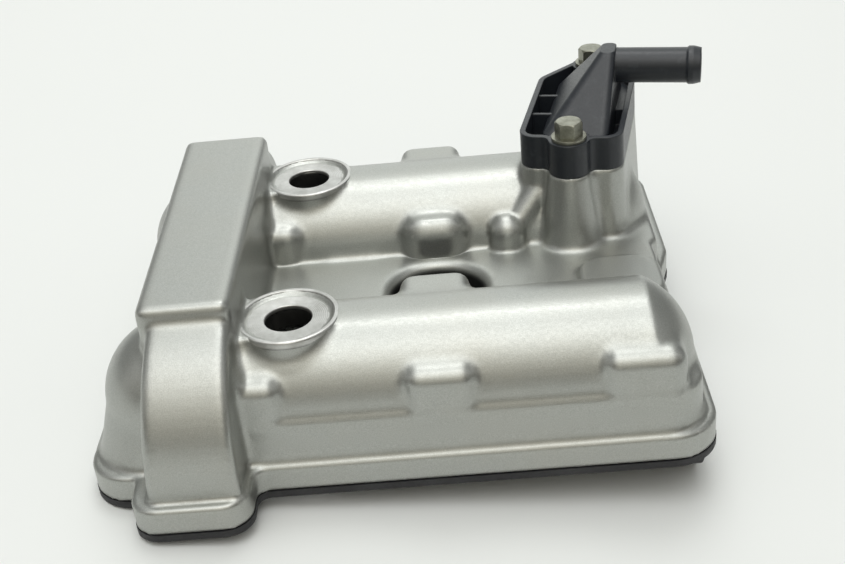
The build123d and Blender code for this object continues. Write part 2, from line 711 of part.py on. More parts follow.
def reed_petal():
    leaf = rectangle((-PETAL_U, PETAL_U), (PETAL_V[0] - PETAL_TAIL, PETAL_V[1]), PETAL_CORNER_R)
    return column_place * prism(leaf, PETAL_BOTTOM, PETAL_BOTTOM + PETAL_T)


def reed_stopper():
    """Clamp foot against the seat, and a sloping tongue that limits the petal."""
    drop = STOPPER_V * tan(radians(STOPPER_ANGLE))
    side_view = Polyline(
        (CLAMP_V[0], SEAT_BOTTOM),
        (CLAMP_V[1], SEAT_BOTTOM),
        (CLAMP_V[1], STOPPER_TOP),
        (0, STOPPER_TOP),
        (STOPPER_V, STOPPER_TOP - drop),
        (STOPPER_V, STOPPER_TOP - drop - STOPPER_T),
        (0, STOPPER_TOP - STOPPER_T),
        (CLAMP_V[0], STOPPER_TOP - STOPPER_T),
        close=True,
    )
    strip = extrude(Plane.YZ * make_face(side_view), amount=STOPPER_U, both=True)
    for place in screw_places():
        strip -= place * disc(0, 0, CHAMBER_FLOOR, COLUMN_TOP, SCREW_R + THREAD_CLEARANCE)
    return column_place * strip


def screw_places():
    return [Pos(side * SCREW_SPAN / 2, sum(CLAMP_V) / 2) for side in (-1, 1)]


def reed_screws():
    under = STOPPER_TOP - STOPPER_T
    screw = disc(0, 0, under - SCREW_HEAD_H, under, SCREW_HEAD_R)
    screw += disc(0, 0, under, COLUMN_TOP, SCREW_R)
    return Compound([column_place * place * screw for place in screw_places()])


os.makedirs("parts", exist_ok=True)
pieces = {
    "cover_casting": casting(),
    "perimeter_gasket": rim_gasket(),
    "plug_hole_gasket": plug_gasket(),
    "air_port_seal": air_gasket(),
    "reed_cover": reed_cover(),
    "reed_cover_bolts": at_cap_bolts(cap_bolt()),
    "reed_cover_washers": at_cap_bolts(cap_washer()),
    "reed_cover_sleeves": at_cap_bolts(cap_sleeve()),
    "reed_seat": reed_seat(),
    "reed_seal": reed_seal(),
    "reed_petal": reed_petal(),
    "reed_stopper": reed_stopper(),
    "reed_screws": reed_screws(),
}
for name, piece in pieces.items():
    export_step(piece, f"parts/{name}.step")
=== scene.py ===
import json
import math
from functools import partial

import bmesh
import bpy
import numpy as np
from mathutils import Matrix, Vector
from mathutils.bvhtree import BVHTree


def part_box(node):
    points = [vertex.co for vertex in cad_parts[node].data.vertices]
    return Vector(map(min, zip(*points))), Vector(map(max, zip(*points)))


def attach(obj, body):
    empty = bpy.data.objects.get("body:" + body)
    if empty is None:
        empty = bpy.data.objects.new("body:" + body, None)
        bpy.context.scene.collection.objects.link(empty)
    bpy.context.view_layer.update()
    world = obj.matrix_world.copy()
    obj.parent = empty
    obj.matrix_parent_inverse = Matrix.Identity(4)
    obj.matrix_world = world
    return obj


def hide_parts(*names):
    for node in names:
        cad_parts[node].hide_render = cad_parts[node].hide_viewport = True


# Looks of the valve cover: the casting gets soft cast edges and a grained silver finish,
# and the CAD's plastic, rubber and steel parts get their materials. In metres: a size in
# millimetres is written times MM.

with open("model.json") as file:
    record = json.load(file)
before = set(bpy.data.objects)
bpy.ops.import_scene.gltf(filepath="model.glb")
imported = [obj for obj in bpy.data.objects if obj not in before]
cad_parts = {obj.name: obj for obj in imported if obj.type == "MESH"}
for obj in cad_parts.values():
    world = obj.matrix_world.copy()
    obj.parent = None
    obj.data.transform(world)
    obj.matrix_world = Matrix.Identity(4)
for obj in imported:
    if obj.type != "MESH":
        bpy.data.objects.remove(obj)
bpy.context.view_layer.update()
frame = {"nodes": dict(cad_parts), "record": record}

# --- places on the casting, from its design ---
MM = 0.001
CAM_Y = 45.9 * MM            # camshaft axes
PAD_X = -42.6 * MM           # cover bolt pads
PAD_FACE_Z = 43.0 * MM       # machined ring round each cover bolt hole
PAD_FACE_R = 13.5 * MM
PAD_HOLE_R = 7.0 * MM
PAD_R = 15.2 * MM
PAD_TOP = 44.2 * MM
THROAT_R = 15.6 * MM         # mouth of the plug well
THROAT_EDGE_R = 3.6 * MM
WEB_Z = 22.0 * MM
FLANGE_H = 8.4 * MM
COLUMN_TOP = 47.7 * MM
CAM_Z = 22.0 * MM            # camshaft covers
BARREL_R = 22.3 * MM
DOME_X = 49.6 * MM           # centre and radius of their right ends
DOME_R = 25.0 * MM
DOME_START = 46.0 * MM       # where the round end begins to be shaped as a whole
FLANK_INSET = 0.035          # share that the near cover's flank lies inside the round
FLANK_START = -56.5 * MM     # the shaped flank begins beside the tunnel's hump
SKIRT_REACH = 22.7 * MM      # camshaft axis to the side wall below the flank
SKIRT_TOP = 0.2 * MM         # its upper edge, above the axis
SKIRT_EDGE_R = 1.2 * MM
SKIRT_BLEND = 1.6 * MM
BUMP_TOP = 35.2 * MM         # bumps over the bearing caps
BUMP_LIP_R = 5.0 * MM
BUMP_BLEND = 1.6 * MM        # at the top of a bump, and the least, at its foot
FOOT_BLEND = 0.4 * MM
THIN_WALL = 1.2 * MM         # least wall left behind a bump
EVEN_ROUNDS = 8              # how often the end bump's vertices are evened out
NEAR, FAR = -1, 1            # sides of the plug well, by the sign of y
BUMPS = (                    # side, then in mm: middle, half length, corner, reach from axis
    (NEAR, -53.3, 8.9, 5.0, 22.8),
    (NEAR, 0.0, 10.8, 5.0, 22.8),
    (NEAR, 57.5, 12.1, 5.0, 22.8),
    (FAR, -53.3, 9.4, 7.0, 23.8),
    (FAR, 0.0, 12.8, 9.5, 26.6),
)
AIR_BOSS = np.array((24.7, 25.4, 26.0)) * MM     # small dome on the web, and the top of
RIB_TOP = np.array((39.4, 33.6, 41.5)) * MM      # the rib from it to the column
SHELF_MID, SHELF_HALF = (59.2 * MM, -5.5 * MM), (17 * MM, 18 * MM)
MOON_LEFT = 68.0 * MM        # half moons of the gasket, which lift the right end
GASKET_FOOT_Z = -2.2 * MM    # underside of the gasket's plain ring

# --- table ---
TABLE_HALF = 4.0
TABLE_FRONT = -0.33          # just out of the picture
TABLE_DARK, TABLE_LIGHT = (0.74, 0.755, 0.745, 1), (0.77, 0.782, 0.772, 1)

# --- camera ---
LENS = 55.05
CAMERA_AT = Vector((10.93, -363.31, 237.96)) * MM
PITCH = math.radians(30.42)
YAW = math.radians(-2.47)
ROLL = math.radians(5.93)

# --- studio light: colour of the sky by its tilt from overhead in degrees, front below 0 ---
SKY_SPAN = 2.0               # tilt at the ends of the ramp, in radians
SKY_LEVEL = 0.90
SKY_SIDES = 0.20             # share of the level that is left at the sides
SKY_FADE = (0.10, 0.58)      # how far aside it begins to fade, and is down to that share
BACKDROP = (0.87, 0.885, 0.875, 1)
SKY = (
    (-108, (0.08, 0.075, 0.06)), (-92, (0.24, 0.23, 0.19)), (-80, (0.70, 0.66, 0.56)),
    (-66, (1.15, 1.10, 0.96)), (-50, (1.9, 1.86, 1.70)), (-34, (3.15, 3.13, 3.0)),
    (-16, (3.5, 3.53, 3.48)), (6, (2.2, 2.24, 2.2)), (34, (1.45, 1.49, 1.45)),
    (70, (1.32, 1.36, 1.32)), (90, (1.15, 1.18, 1.15)), (100, (0.5, 0.5, 0.5)),
)

# --- softbox behind and above the cover ---
BOX_SIZE = (0.5, 0.3)
BOX_WATTS = 1.6
BOX_AT = (0.05, 0.36, 1.05)
BOX_TILT = math.radians(-19)

# --- casting skin ---
PROBE = 0.05 * MM            # step over which a slope is measured
VOXEL = 1.06 * MM
SKIN_TRIANGLES = 185000
ROUNDS = 14
FILL = 0.55                  # share moved each round where the surface is hollow
WEAR = 0.07                  # and where it stands out


# --- small helpers ---
def link(name, data):
    thing = bpy.data.objects.new(name, data)
    bpy.context.scene.collection.objects.link(thing)
    return thing


def read_points(mesh):
    points = np.empty(len(mesh.vertices) * 3, np.float32)
    mesh.vertices.foreach_get("co", points)
    return points.reshape(-1, 3).astype(float)


def read_normals(mesh):
    normals = np.empty(len(mesh.vertices) * 3, np.float32)
    mesh.vertices.foreach_get("normal", normals)
    return normals.reshape(-1, 3).astype(float)


def read_edges(mesh):
    edges = np.empty(len(mesh.edges) * 2, np.int32)
    mesh.edges.foreach_get("vertices", edges)
    return edges.reshape(-1, 2)


def write_points(mesh, points):
    mesh.vertices.foreach_set("co", points.astype(np.float32).ravel())
    mesh.update()


def neighbour_mean(points, edges):
    """Mean of each vertex's neighbours."""
    a, b = edges.T
    count = np.bincount(edges.ravel(), minlength=len(points))
    total = np.empty_like(points)
    for axis in range(3):
        total[:, axis] = np.bincount(a, points[b, axis], len(points))
        total[:, axis] += np.bincount(b, points[a, axis], len(points))
    return total / np.maximum(count, 1)[:, None]


def ramp(values, low, high):
    """0 below low, 1 above high, smooth between."""
    t = np.clip((values - low) / (high - low), 0, 1)
    return t * t * (3 - 2 * t)


def pad_distance(points):
    """Distance in plan from the nearer cover bolt axis."""
    return np.hypot(points[:, 0] - PAD_X, np.abs(points[:, 1]) - CAM_Y)


def add_attribute(mesh, name, values):
    attribute = mesh.attributes.new(name, "FLOAT", "POINT")
    attribute.data.foreach_set("value", values.astype(np.float32))


# --- the casting ---
def voxel_copy(source, name):
    """An even net of small quads over the node's surface."""
    welded = bmesh.new()
    welded.from_mesh(source.data)
    bmesh.ops.remove_doubles(welded, verts=welded.verts, dist=1e-6)
    mesh = bpy.data.meshes.new(name)
    welded.to_mesh(mesh)
    welded.free()
    tree = BVHTree.FromPolygons([v.co for v in mesh.vertices], [p.vertices for p in mesh.polygons])
    rough = link(name, mesh)
    remesh = rough.modifiers.new("net", "REMESH")
    remesh.mode = "VOXEL"
    remesh.voxel_size = VOXEL
    evaluated = rough.evaluated_get(bpy.context.evaluated_depsgraph_get())
    net = bpy.data.meshes.new_from_object(evaluated)
    rough.modifiers.clear()
    rough.data = net
    bpy.data.meshes.remove(mesh)
    points = read_points(net)
    snapped = [tree.find_nearest(Vector(p))[0] for p in points]
    write_points(net, np.array(snapped))
    return rough


def round_corner(a, b, radius):
    """Signed distance to the corner a < 0, b < 0, rounded."""
    a, b = a + radius, b + radius
    return np.hypot(np.maximum(a, 0), np.maximum(b, 0)) + np.minimum(np.maximum(a, b), 0) - radius


def blended(one, other, reach):
    """Smooth union of two signed distances."""
    near = np.maximum(reach - np.abs(one - other), 0)
    return np.minimum(one, other) - near ** 2 / (4 * reach)


def flank_distance(place, side):
    """Signed distance to one flank of a camshaft cover, (x, outwards, up) from its axis."""
    x, out, up = place.T
    inset = 1.0
    if side == NEAR:
        inset = 1 + FLANK_INSET * (1 - ramp(x, 54 * MM, 66 * MM))
    dome = np.sqrt(np.maximum(x - DOME_X, 0) ** 2 + out ** 2 + up ** 2) - DOME_R
    distance = np.maximum(np.hypot(out * inset, up) - BARREL_R, dome)
    blend = FOOT_BLEND + (BUMP_BLEND - FOOT_BLEND) * ramp(up, 1.0 * MM, 9 * MM)
    for of_side, middle, half, corner, reach in BUMPS:
        if of_side == side:
            face = round_corner(out - reach * MM, up - (BUMP_TOP - CAM_Z), BUMP_LIP_R)
            box = round_corner(np.abs(x - middle * MM) - half * MM, face, corner * MM)
            distance = blended(distance, box, blend)
    if side == NEAR:
        wall = round_corner(out - SKIRT_REACH, up - SKIRT_TOP, SKIRT_EDGE_R)
        distance = blended(distance, wall, SKIRT_BLEND)
    return distance


def slope_of(distance, place):
    """The signed distance at each place, and how it changes along each axis."""
    away = distance(place)
    slope = np.empty_like(place)
    for axis in range(place.shape[1]):
        moved = place.copy()
        moved[:, axis] += PROBE
        slope[:, axis] = (distance(moved) - away) / PROBE
    return away, slope


def moved_onto(distance, place, rounds, depth=0.0, share=1.0):
    """The places moved by a share of their way to the surface, or to a depth below it."""
    for _ in range(rounds):
        away, slope = slope_of(distance, place)
        slope = slope / np.maximum((slope ** 2).sum(1), 0.3)[:, None]
        place = place - (away + depth)[:, None] * slope * share
    return place


def shape_throat(skin):
    """Open the mouth of the spark plug well and round its edge."""
    def distance(place):
        return round_corner(place[:, 1] - WEB_Z, THROAT_R - place[:, 0], THROAT_EDGE_R)

    points = read_points(skin.data)
    place = np.stack([np.hypot(points[:, 0], points[:, 1]), points[:, 2]], 1)
    radius, height = place.T
    away = distance(place)
    mouth = (radius < 24 * MM) & (height > 7 * MM) & (height < 24 * MM)
    index = np.flatnonzero(mouth & (away > -0.4 * MM) & (away < 3.4 * MM))
    start = place[index]
    share = ramp(start[:, 1], 8 * MM, 13 * MM) * (1 - ramp(start[:, 0], 20.5 * MM, 22.5 * MM))
    place = start + (moved_onto(distance, start, 4) - start) * share[:, None]
    points[index, :2] *= (place[:, 0] / start[:, 0])[:, None]
    points[index, 2] = place[:, 1]
    write_points(skin.data, points)


def flank_share(start, first, inner, lowest):
    """How much of its way each place of a flank goes: none at the edges of the shaped part."""
    x, out, up = start.T
    share = np.maximum(ramp(up, lowest, lowest + 2.0 * MM), first < -0.3 * MM)
    share *= ramp(x, FLANK_START, FLANK_START + 2.0 * MM)
    share *= ramp(out - inner, 0, 3 * MM)
    foot = 1 - ramp(up, 0.5 * MM, 3 * MM)
    return share * (1 - foot * ramp(x, 64 * MM, 69 * MM))


def shape_flanks(skin):
    """Give the camshaft covers' front flanks their bumps with full round lips and blends."""
    points, normals = read_points(skin.data), read_normals(skin.data)
    edges = read_edges(skin.data)
    shaped = np.zeros(len(points))
    outwards = np.array((1, -1, 1))
    for side in (NEAR, FAR):
        distance = partial(flank_distance, side=side)
        axis = np.array((0, side * CAM_Y, -CAM_Z))
        place = points * outwards + axis
        x, out, up = place.T
        inner, lowest = np.full(len(x), 6 * MM), -0.8 * MM
        if side == NEAR:
            inner = (6 - 12 * ramp(x, DOME_START, DOME_START + 6 * MM)) * MM
            lowest = -2.5 * MM
        inside = (x > FLANK_START) & (out > inner) & (up > lowest)
        if side == FAR:
            inside &= np.any([np.abs(x - middle * MM) < (half + 6) * MM
                              for of_side, middle, half, *_ in BUMPS if of_side == FAR], axis=0)
        index = np.flatnonzero(inside)
        first, slope = slope_of(distance, place[index])
        faces_out = np.sum(slope * normals[index] * outwards, axis=1) > -0.1
        highest = np.where(x[index] > 40 * MM, 16 * MM, 6 * MM)
        kept = (first > np.where(faces_out, -7 * MM, -THIN_WALL)) & (first < highest)
        index, first = index[kept], first[kept]
        depth = np.where(faces_out[kept], 0, THIN_WALL)
        start = place[index]
        share = flank_share(start, first, inner[index], lowest)
        share *= ramp(pad_distance(points[index]), PAD_R + 0.8 * MM, PAD_R + 3.0 * MM)
        way = moved_onto(distance, start, 6, depth) - start
        points[index] += way * share[:, None] * outwards
        evened = (share * ramp(start[:, 0], 50 * MM, 55 * MM))[:, None]
        for _ in range(EVEN_ROUNDS if side == NEAR else 0):
            pull = neighbour_mean(points, edges)[index] - points[index]
            place = (points[index] + pull * evened) * outwards + axis
            place = moved_onto(distance, place, 2, depth, evened)
            points[index] = (place - axis) * outwards
        shaped[index] = np.maximum(shaped[index], share * (1.0 if side == NEAR else 0.75))
    write_points(skin.data, points)
    return shaped


def softness(points, shaped):
    """How much each place may be rounded: little where the real one is machined or crisp."""
    soft = 0.06 + 0.94 * ramp(points[:, 2], FLANGE_H + 1.0 * MM, FLANGE_H + 4.0 * MM)
    soft *= ramp(points[:, 2], 0.3 * MM, 1.5 * MM)
    soft *= 1 - 0.8 * shaped
    rib = RIB_TOP - AIR_BOSS
    along = np.clip((points - AIR_BOSS) @ rib / (rib @ rib), 0, 1)[:, None]
    from_rib = np.linalg.norm(points - AIR_BOSS - along * rib, axis=1)
    soft *= 0.2 + 0.8 * ramp(from_rib, 8 * MM, 11 * MM)
    from_shelf = np.maximum(np.abs(points[:, 0] - SHELF_MID[0]) - SHELF_HALF[0],
                            np.abs(points[:, 1] - SHELF_MID[1]) - SHELF_HALF[1])
    soft *= 0.4 + 0.6 * ramp(from_shelf, 0, 3 * MM)
    near_pad = 1 - ramp(pad_distance(points), PAD_R + 0.4 * MM, PAD_R + 1.9 * MM)
    high = ramp(points[:, 2], 41.0 * MM, 42.5 * MM)
    soft *= 1 - 0.85 * near_pad * high
    soft *= 1 - 0.8 * ramp(points[:, 2], COLUMN_TOP - 1.5 * MM, COLUMN_TOP - 0.5 * MM) * (
        points[:, 0] > 20 * MM)
    return soft


def soften(skin, shaped):
    """Fill the hollow corners of the casting and wear its outer edges a little."""
    mesh = skin.data
    edges = read_edges(mesh)
    points = read_points(mesh)
    soft = softness(points, shaped)[:, None]
    for _ in range(ROUNDS):
        mesh.update()
        normals = read_normals(mesh)
        pull = neighbour_mean(points, edges) - points
        hollow = np.sum(pull * normals, axis=1, keepdims=True) > 0
        points = points + pull * soft * np.where(hollow, FILL, WEAR)
        write_points(mesh, points)


def thin_inside(skin):
    """Fewer, larger faces in the hollow, which only shows from below."""
    mesh = skin.data
    starts = read_points(mesh) + 0.3 * MM * read_normals(mesh)
    tree = BVHTree.FromPolygons([v.co for v in mesh.vertices], [p.vertices for p in mesh.polygons])
    ways = [Vector(way) for way in ((0, 0, 1), (0, -1, 0), (1, 0, 0), (0, 1, 0), (-1, 0, 0))]
    shut = np.array([all(tree.ray_cast(Vector(start), way)[0] for way in ways)
                     for start in starts], float)
    edges = read_edges(mesh)
    deep = neighbour_mean(np.repeat(shut[:, None], 3, axis=1), edges)[:, 0] * shut > 0.99
    group = skin.vertex_groups.new(name="deep")
    group.add(np.flatnonzero(deep).tolist(), 1.0, "REPLACE")
    thin = skin.modifiers.new("thin", "DECIMATE")
    thin.ratio = SKIN_TRIANGLES / (2 * len(mesh.polygons))
    thin.vertex_group = group.name
    evaluated = skin.evaluated_get(bpy.context.evaluated_depsgraph_get())
    skin.data = bpy.data.meshes.new_from_object(evaluated)
    skin.modifiers.clear()
    skin.vertex_groups.clear()
    bpy.data.meshes.remove(mesh)


def edge_measure(mesh, edges, rounds=3):
    """Above 0 on ridges and lips, below 0 in corners, averaged over a few vertices."""
    points, normals = read_points(mesh), read_normals(mesh)
    bend = -np.sum((neighbour_mean(points, edges) - points) * normals, axis=1) / VOXEL
    spread = np.repeat(bend[:, None], 3, axis=1)
    for _ in range(rounds):
        spread = 0.5 * spread + 0.5 * neighbour_mean(spread, edges)
    return spread[:, 0]


def painted_shade_share(points):
    """1 in the plug well and in the bolt holes, where shade is painted in as a near-black coat."""
    x, y, z = points.T
    well = np.hypot(x, y) < THROAT_R + 0.8 * MM
    well_depth = ramp(WEB_Z - z, 1.2 * MM, 4.0 * MM)
    holes = pad_distance(points) < PAD_HOLE_R + 0.5 * MM
    return np.maximum(well * well_depth, holes * ramp(PAD_FACE_Z - z, 0.4 * MM, 1.2 * MM))


def lathe(name, profile, places, turns=96):
    """Rings of one (radius, height) profile round upright axes at the places."""
    rings = np.arange(turns) * 2 * math.pi / turns
    points, faces = [], []
    for x, y in places:
        start = len(points)
        for radius, height in profile:
            points += [(x + radius * math.cos(a), y + radius * math.sin(a), height) for a in rings]
        for row in range(len(profile) - 1):
            for k in range(turns):
                a, b = start + row * turns + k, start + row * turns + (k + 1) % turns
                faces.append((a, b, b + turns, a + turns))
    mesh = bpy.data.meshes.new(name)
    mesh.from_pydata(points, [], faces)
    mesh.polygons.foreach_set("use_smooth", np.ones(len(mesh.polygons), bool))
    return link(name, mesh)


def arc(middle, radius, start, end, steps=5):
    """Points of a profile's rounded corner, angles in degrees from outwards."""
    angles = np.radians(np.linspace(start, end, steps))
    return [(middle[0] + radius * math.cos(a), middle[1] + radius * math.sin(a)) for a in angles]


def pad_rings():
    """The machined ring and raised rim of each cover bolt pad."""
    proud = 0.05 * MM
    face, top = PAD_FACE_Z + proud, PAD_TOP + proud
    hole, edge = PAD_HOLE_R - proud, 0.35 * MM
    rim = 0.7 * MM
    profile = [(hole, PAD_FACE_Z - 7 * MM)]
    profile += arc((hole + edge, face - edge), edge, 180, 90)
    profile += arc((PAD_FACE_R - 0.2 * MM, face + 0.2 * MM), 0.2 * MM, 270, 360, 4)
    profile += arc((PAD_FACE_R + 0.4 * MM, top - 0.4 * MM), 0.4 * MM, 180, 90, 4)
    profile += arc((PAD_R - rim, top - rim), rim + proud, 90, 4, 6)
    profile += [(PAD_R + 0.08 * MM, PAD_TOP - 2.2 * MM)]
    return lathe("pad_rings", profile, [(PAD_X, -CAM_Y), (PAD_X, CAM_Y)])


def cast_skin():
    source = frame["nodes"]["cover_casting"]
    skin = voxel_copy(source, "casting_skin")
    shape_throat(skin)
    soften(skin, shape_flanks(skin))
    thin_inside(skin)
    mesh = skin.data
    edges = read_edges(mesh)
    bend = edge_measure(mesh, edges)
    add_attribute(mesh, "lip", np.clip(bend * 9, 0, 1))
    add_attribute(mesh, "corner", np.clip(-bend * 9, 0, 1))
    add_attribute(mesh, "inside", painted_shade_share(read_points(mesh)))
    mesh.polygons.foreach_set("use_smooth", np.ones(len(mesh.polygons), bool))
    mesh.calc_loop_triangles()
    print("casting_skin triangles", len(mesh.loop_triangles))
    return skin


# --- materials ---
class Nodes:
    """A material's node tree with short calls for the nodes used here."""

    def __init__(self, name):
        self.material = bpy.data.materials.new(name)
        self.material.use_nodes = True
        self.tree = self.material.node_tree
        self.shader = self.tree.nodes["Principled BSDF"]
        self.place = self.add("ShaderNodeTexCoord").outputs["Object"]

    def add(self, kind, **settings):
        node = self.tree.nodes.new(kind)
        for key, value in settings.items():
            setattr(node, key, value)
        return node

    def join(self, value, socket):
        if isinstance(value, bpy.types.NodeSocket):
            self.tree.links.new(value, socket)
        else:
            socket.default_value = value

    def noise(self, scale, detail=3.0, place=None, roughness=0.55):
        node = self.add("ShaderNodeTexNoise")
        self.join(place or self.place, node.inputs["Vector"])
        node.inputs["Scale"].default_value = scale
        node.inputs["Detail"].default_value = detail
        node.inputs["Roughness"].default_value = roughness
        return node.outputs["Fac"]

    def spread(self, value, low, high, to_low=0.0, to_high=1.0):
        node = self.add("ShaderNodeMapRange", clamp=True)
        for key, number in zip(("From Min", "From Max", "To Min", "To Max"),
                               (low, high, to_low, to_high)):
            node.inputs[key].default_value = number
        self.join(value, node.inputs["Value"])
        return node.outputs["Result"]

    def math(self, operation, a, b=0.0):
        node = self.add("ShaderNodeMath", operation=operation)
        self.join(a, node.inputs[0])
        self.join(b, node.inputs[1])
        return node.outputs[0]

    def mix(self, share, a, b):
        node = self.add("ShaderNodeMix", data_type="RGBA")
        self.join(share, node.inputs["Factor"])
        self.join(a, node.inputs[6])
        self.join(b, node.inputs[7])
        return node.outputs[2]

    def bump(self, height, distance, strength=1.0, normal=None):
        node = self.add("ShaderNodeBump")
        node.inputs["Distance"].default_value = distance
        node.inputs["Strength"].default_value = strength
        self.join(height, node.inputs["Height"])
        if normal is not None:
            self.join(normal, node.inputs["Normal"])
        return node.outputs["Normal"]

    def attribute(self, name):
        return self.add("ShaderNodeAttribute", attribute_name=name).outputs["Fac"]

    def finish(self, colour, roughness, normal=None, **fixed):
        self.join(colour, self.shader.inputs["Base Color"])
        self.join(roughness, self.shader.inputs["Roughness"])
        if normal is not None:
            self.join(normal, self.shader.inputs["Normal"])
        for key, value in fixed.items():
            self.shader.inputs[key.replace("_", " ")].default_value = value
        return self.material


def cast_finish(name):
    """Silver coat on a die casting: fine grain, colour darker in the hollow corners, worn lips."""
    n = Nodes(name)
    fine = n.noise(3400, 2.0)
    cloud = n.noise(38, 4.0)
    colour = n.mix(n.spread(fine, 0.3, 0.7), (0.34, 0.35, 0.33, 1), (0.46, 0.47, 0.45, 1))
    colour = n.mix(n.spread(cloud, 0.35, 0.75, 0.0, 0.3), colour, (0.40, 0.39, 0.35, 1))
    # Colour darker in the hollow corners, where the surface bends inwards, broken up by noise.
    corner_darkening = n.math("MULTIPLY", n.attribute("corner"), n.spread(n.noise(120, 4.0), 0.35, 0.65))
    colour = n.mix(n.math("MULTIPLY", corner_darkening, 0.3), colour, (0.15, 0.14, 0.11, 1))
    chips = n.spread(n.noise(420, 5.0, roughness=0.7), 0.60, 0.66)
    worn = n.math("MULTIPLY", n.spread(n.attribute("lip"), 0.45, 0.9), chips)
    colour = n.mix(n.math("MULTIPLY", worn, 0.5), colour, (0.60, 0.60, 0.58, 1))
    # Painted shade: the plug well and the bolt holes are coloured near-black, as if in shadow.
    colour = n.mix(n.math("MULTIPLY", n.attribute("inside"), 0.9), colour, (0.03, 0.03, 0.028, 1))
    roughness = n.spread(n.noise(900, 2.0), 0.3, 0.7, 0.32, 0.40)
    normal = n.bump(fine, 0.00006, 0.45)
    normal = n.bump(n.noise(160, 3.0), 0.0004, 0.08, normal)
    return n.finish(colour, roughness, normal, Metallic=0.85)


def machined_finish():
    """Faced metal round the bolt holes: turning marks, stains, a dull shine, and painted shade,
    near-black, down the bolt holes.
    """
    n = Nodes("faced_pads")
    parts = n.add("ShaderNodeSeparateXYZ")
    n.join(n.place, parts.inputs[0])
    across = n.math("SUBTRACT", parts.outputs["X"], PAD_X)
    along = n.math("SUBTRACT", n.math("ABSOLUTE", parts.outputs["Y"]), CAM_Y)
    square = n.math("ADD", n.math("MULTIPLY", across, across), n.math("MULTIPLY", along, along))
    radius = n.math("SQRT", square)
    marks = n.math("SINE", n.math("MULTIPLY", radius, 2 * math.pi / (0.55 * MM)))
    stain = n.spread(n.noise(150, 5.0, roughness=0.65), 0.35, 0.68)
    colour = n.mix(stain, (0.42, 0.42, 0.40, 1), (0.62, 0.62, 0.605, 1))
    # Painted shade: the bore below the machined face darkens to near-black.
    deep = n.spread(parts.outputs["Z"], PAD_FACE_Z - 1.4 * MM, PAD_FACE_Z - 0.3 * MM)
    colour = n.mix(deep, (0.02, 0.02, 0.02, 1), colour)
    roughness = n.spread(n.noise(500, 3.0), 0.3, 0.7, 0.30, 0.42)
    normal = n.bump(marks, 0.00003, 0.5)
    return n.finish(colour, roughness, normal, Metallic=0.85)


def plastic_finish():
    n = Nodes("moulded_plastic")
    fine = n.noise(1500, 3.0)
    scuff = n.spread(n.noise(240, 5.0, roughness=0.7), 0.55, 0.75, 0.0, 0.5)
    colour = n.mix(scuff, (0.014, 0.017, 0.022, 1), (0.045, 0.050, 0.058, 1))
    roughness = n.spread(fine, 0.3, 0.7, 0.30, 0.44)
    bevel = n.add("ShaderNodeBevel", samples=6)
    bevel.inputs["Radius"].default_value = 0.0006
    normal = n.bump(fine, 0.0001, 0.20, bevel.outputs["Normal"])
    return n.finish(colour, roughness, normal, Metallic=0.0)


def rubber_finish():
    n = Nodes("black_rubber")
    fine = n.noise(900, 4.0)
    dust = n.spread(n.noise(90, 4.0), 0.45, 0.75, 0.0, 0.6)
    colour = n.mix(dust, (0.012, 0.012, 0.014, 1), (0.035, 0.035, 0.037, 1))
    roughness = n.spread(fine, 0.3, 0.7, 0.48, 0.68)
    return n.finish(colour, roughness, n.bump(fine, 0.0002, 0.3), Metallic=0.0)


def steel_finish(name, dark, light, rough, metallic=0.9):
    """Plated or plain steel: faint stains and a fine grain."""
    n = Nodes(name)
    stain = n.spread(n.noise(260, 5.0, roughness=0.65), 0.35, 0.7)
    colour = n.mix(stain, dark, light)
    roughness = n.spread(n.noise(700, 3.0), 0.3, 0.7, rough - 0.06, rough + 0.08)
    bevel = n.add("ShaderNodeBevel", samples=6)
    bevel.inputs["Radius"].default_value = 0.0003
    normal = n.bump(n.noise(1600, 2.0), 0.00008, 0.3, bevel.outputs["Normal"])
    return n.finish(colour, roughness, normal, Metallic=metallic)


def dress_nodes():
    finishes = {
        "black_rubber": rubber_finish(),
        "black_plastic": plastic_finish(),
        "zinc_steel": steel_finish("olive_zinc", (0.20, 0.20, 0.16, 1), (0.36, 0.36, 0.30, 1), 0.36),
        "plain_steel": steel_finish("plain_steel", (0.38, 0.38, 0.37, 1), (0.56, 0.56, 0.55, 1), 0.30),
        "plate_metal": steel_finish("valve_plate", (0.48, 0.48, 0.47, 1), (0.62, 0.62, 0.61, 1), 0.32),
        "spring_steel": steel_finish("spring_steel", (0.30, 0.31, 0.33, 1), (0.44, 0.45, 0.47, 1), 0.22),
    }
    for part in frame["record"]["subparts"]:
        finish = finishes.get(part["material_slot"])
        if finish:
            data = frame["nodes"][part["node"]].data
            data.materials.clear()
            data.materials.append(finish)


# --- the stage ---
def floor_plane():
    """The table: the cover rests on its left gasket edge and on the two half moons."""
    low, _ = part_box("perimeter_gasket")
    slope = (GASKET_FOOT_Z - low.z) / (MOON_LEFT - low.x)
    table = bpy.data.meshes.new("table_top")
    corners = []
    for x, y in ((-TABLE_HALF, TABLE_FRONT), (TABLE_HALF, TABLE_FRONT),
                 (TABLE_HALF, TABLE_HALF), (-TABLE_HALF, TABLE_HALF)):
        corners.append((x, y, GASKET_FOOT_Z - slope * (x - low.x)))
    table.from_pydata(corners, [], [(0, 1, 2, 3)])
    top = link("table_top", table)
    n = Nodes("pale_table")
    cloud = n.noise(3.0, 3.0)
    colour = n.mix(cloud, TABLE_DARK, TABLE_LIGHT)
    table.materials.append(n.finish(colour, 0.6, Metallic=0.0))


